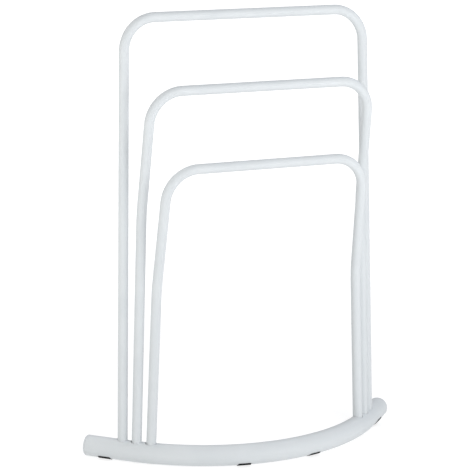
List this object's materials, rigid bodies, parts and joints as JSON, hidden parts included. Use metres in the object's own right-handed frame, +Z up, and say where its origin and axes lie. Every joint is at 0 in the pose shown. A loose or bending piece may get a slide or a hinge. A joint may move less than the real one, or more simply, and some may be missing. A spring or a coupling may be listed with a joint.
{
  "type": "free-standing towel rack",
  "caption": "Free-standing towel rack: stepped round-cornered hoops of white steel tube stand on a curved base tube with black rubber pads.",
  "frame": {"origin": "on the floor, under the middle of the rack's bounding box", "axes": "+Z up; +X to the rack's right as seen from its front; -Y is the front, where the base bulges and the lowest bar is; +Y is the back, where the tallest hoop is"},
  "size_m": [0.6628, 0.2014, 0.8459],
  "materials": {
    "powder_coat": "white powder coat on steel, satin, with a very fine orange-peel texture",
    "cap_plastic": "white moulded plastic, satin, matched to the powder coat",
    "zinc_steel": "bright zinc-plated steel",
    "pad_rubber": "black rubber, matt"
  },
  "bodies": {
    "root": {"base_tube": "powder_coat", "end_cap_left": "cap_plastic", "end_cap_right": "cap_plastic", "rear_hoop": "powder_coat", "middle_hoop": "powder_coat", "front_hoop": "powder_coat", "rear_left_threaded_insert": "zinc_steel", "rear_left_washer": "zinc_steel", "rear_left_bolt": "zinc_steel", "rear_right_threaded_insert": "zinc_steel", "rear_right_washer": "zinc_steel", "rear_right_bolt": "zinc_steel", "middle_left_threaded_insert": "zinc_steel", "middle_left_washer": "zinc_steel", "middle_left_bolt": "zinc_steel", "middle_right_threaded_insert": "zinc_steel", "middle_right_washer": "zinc_steel", "middle_right_bolt": "zinc_steel", "front_left_threaded_insert": "zinc_steel", "front_left_washer": "zinc_steel", "front_left_bolt": "zinc_steel", "front_right_threaded_insert": "zinc_steel", "front_right_washer": "zinc_steel", "front_right_bolt": "zinc_steel", "foot_pad_left_end": "pad_rubber", "foot_pad_middle_left": "pad_rubber", "foot_pad_middle_right": "pad_rubber", "foot_pad_right_end": "pad_rubber"}
  },
  "joints": []
}
